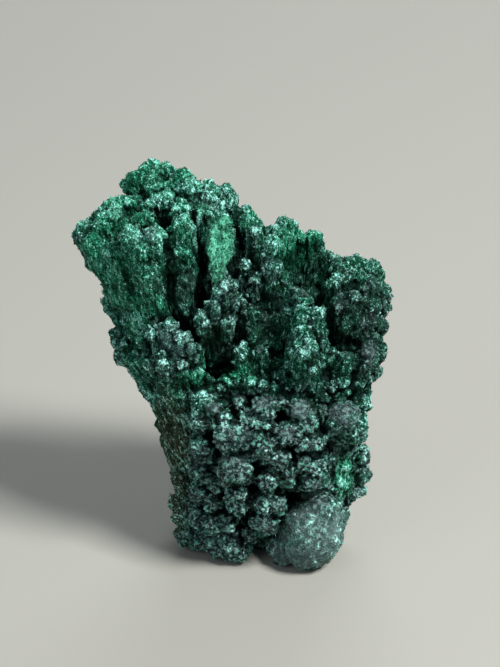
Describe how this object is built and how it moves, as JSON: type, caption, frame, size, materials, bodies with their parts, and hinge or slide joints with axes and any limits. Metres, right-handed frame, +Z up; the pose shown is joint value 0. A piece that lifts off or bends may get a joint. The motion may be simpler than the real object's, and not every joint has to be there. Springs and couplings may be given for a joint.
{
  "type": "malachite specimen",
  "caption": "Malachite mineral specimen: a fan of dark green fibrous bundles with rounded tips, grown on a short lumpy neck that is cut flat to stand on.",
  "frame": {"origin": "near the middle of the flat cut under the neck", "axes": "+Z up through the fan, -Y towards the front with the lumpy neck and the smooth boss, +X towards the side of the boss"},
  "size_m": [0.0266, 0.0183, 0.0328],
  "materials": {
    "malachite": "dark green, silky along the fibres and velvety with pale mint specks on the tips"
  },
  "bodies": {
    "root": {"malachite_cluster": "malachite"}
  },
  "joints": []
}
